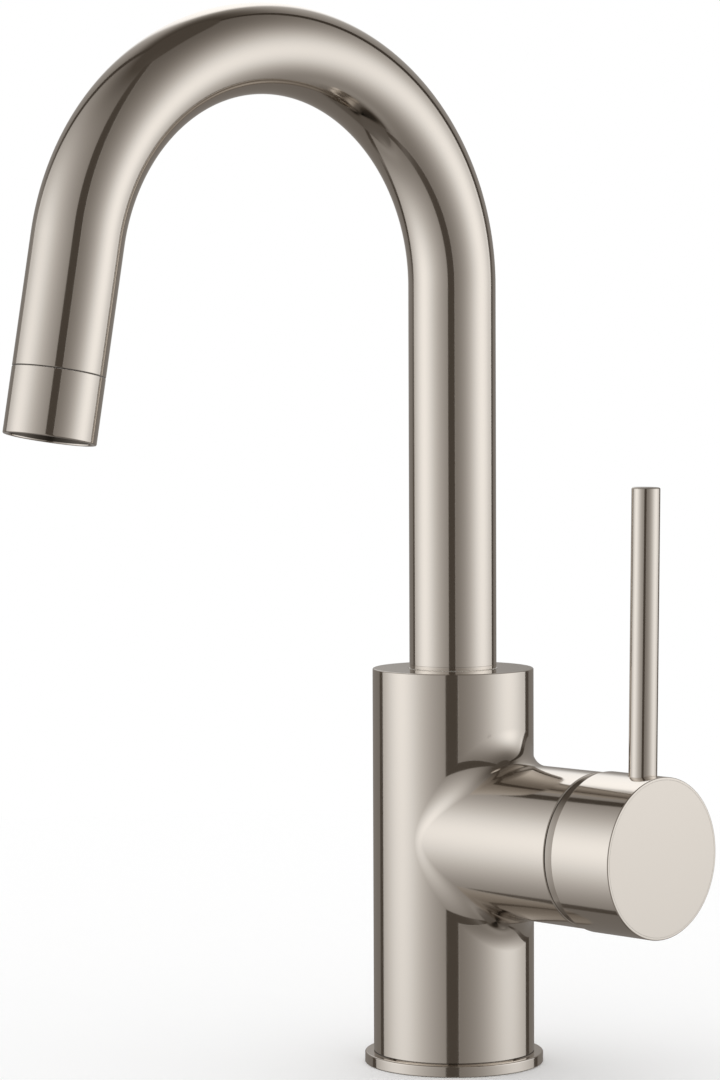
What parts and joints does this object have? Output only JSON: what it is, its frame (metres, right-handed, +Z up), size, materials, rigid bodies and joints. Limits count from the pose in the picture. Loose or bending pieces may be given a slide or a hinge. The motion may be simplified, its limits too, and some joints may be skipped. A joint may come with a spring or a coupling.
{
  "type": "gooseneck bar faucet",
  "caption": "Single-hole gooseneck bar faucet: upright round body, side hub with a straight rod lever, and a tall tube spout that swivels.",
  "frame": {"origin": "centre of the base's underside, on the deck", "axes": "+Z up along the body, +X out along the handle hub; the spout points near -Y, 96.1 degrees round from +X"},
  "size_m": [0.1086, 0.1774, 0.3048],
  "materials": {
    "nickel": "polished satin nickel plate",
    "brass": "turned",
    "steel": "machined",
    "white_plastic": "moulded",
    "grey_plastic": "moulded",
    "rubber": "moulded",
    "ceramic": "lapped"
  },
  "bodies": {
    "base": {"faucet_body": "nickel", "base_ring": "nickel", "base_seal": "rubber", "spout_bush": "white_plastic", "slip_ring": "nickel", "spout_retaining_screw": "steel", "cartridge_base": "grey_plastic", "port_seals": "rubber", "fixed_disc": "ceramic", "cartridge_case": "grey_plastic", "cartridge_nut": "brass", "bonnet_ring": "nickel"},
    "spout": {"spout_tube": "nickel", "spout_nipple": "brass", "spout_o_rings": "rubber", "outlet_sleeve": "nickel", "aerator_washer": "rubber", "aerator_core": "white_plastic", "aerator_screens": "steel", "aerator_grid": "grey_plastic"},
    "carrier": {"stem_carrier": "white_plastic", "hinge_pin": "steel"},
    "handle": {"cartridge_stem": "brass", "handle_hub": "nickel", "hub_set_screw": "steel", "hub_cap": "nickel", "lever_rod": "nickel"},
    "disc": {"disc_slider": "white_plastic", "moving_disc": "ceramic"}
  },
  "joints": [
    {"name": "spout_swivel", "type": "hinge", "parent": "base", "child": "spout", "pos_m": [0, 0, 0.1165], "axis": [0, 0, 1], "continuous": true},
    {"name": "handle_turn", "type": "hinge", "parent": "base", "child": "carrier", "pos_m": [0.048, 0, 0.0671], "axis": [1, 0, 0], "range_deg": [-45, 45]},
    {"name": "handle_tilt", "type": "hinge", "parent": "carrier", "child": "handle", "pos_m": [0.048, 0, 0.0671], "axis": [0, 1, 0], "range_deg": [0, 20]},
    {"name": "disc_slide", "type": "slide", "parent": "carrier", "child": "disc", "axis": [0, 0, 1], "range_m": [0, 0.0065]}
  ],
  "couplings": [
    {"joint": "disc_slide", "follows": "handle_tilt", "m_per_rad": 0.0185}
  ]
}
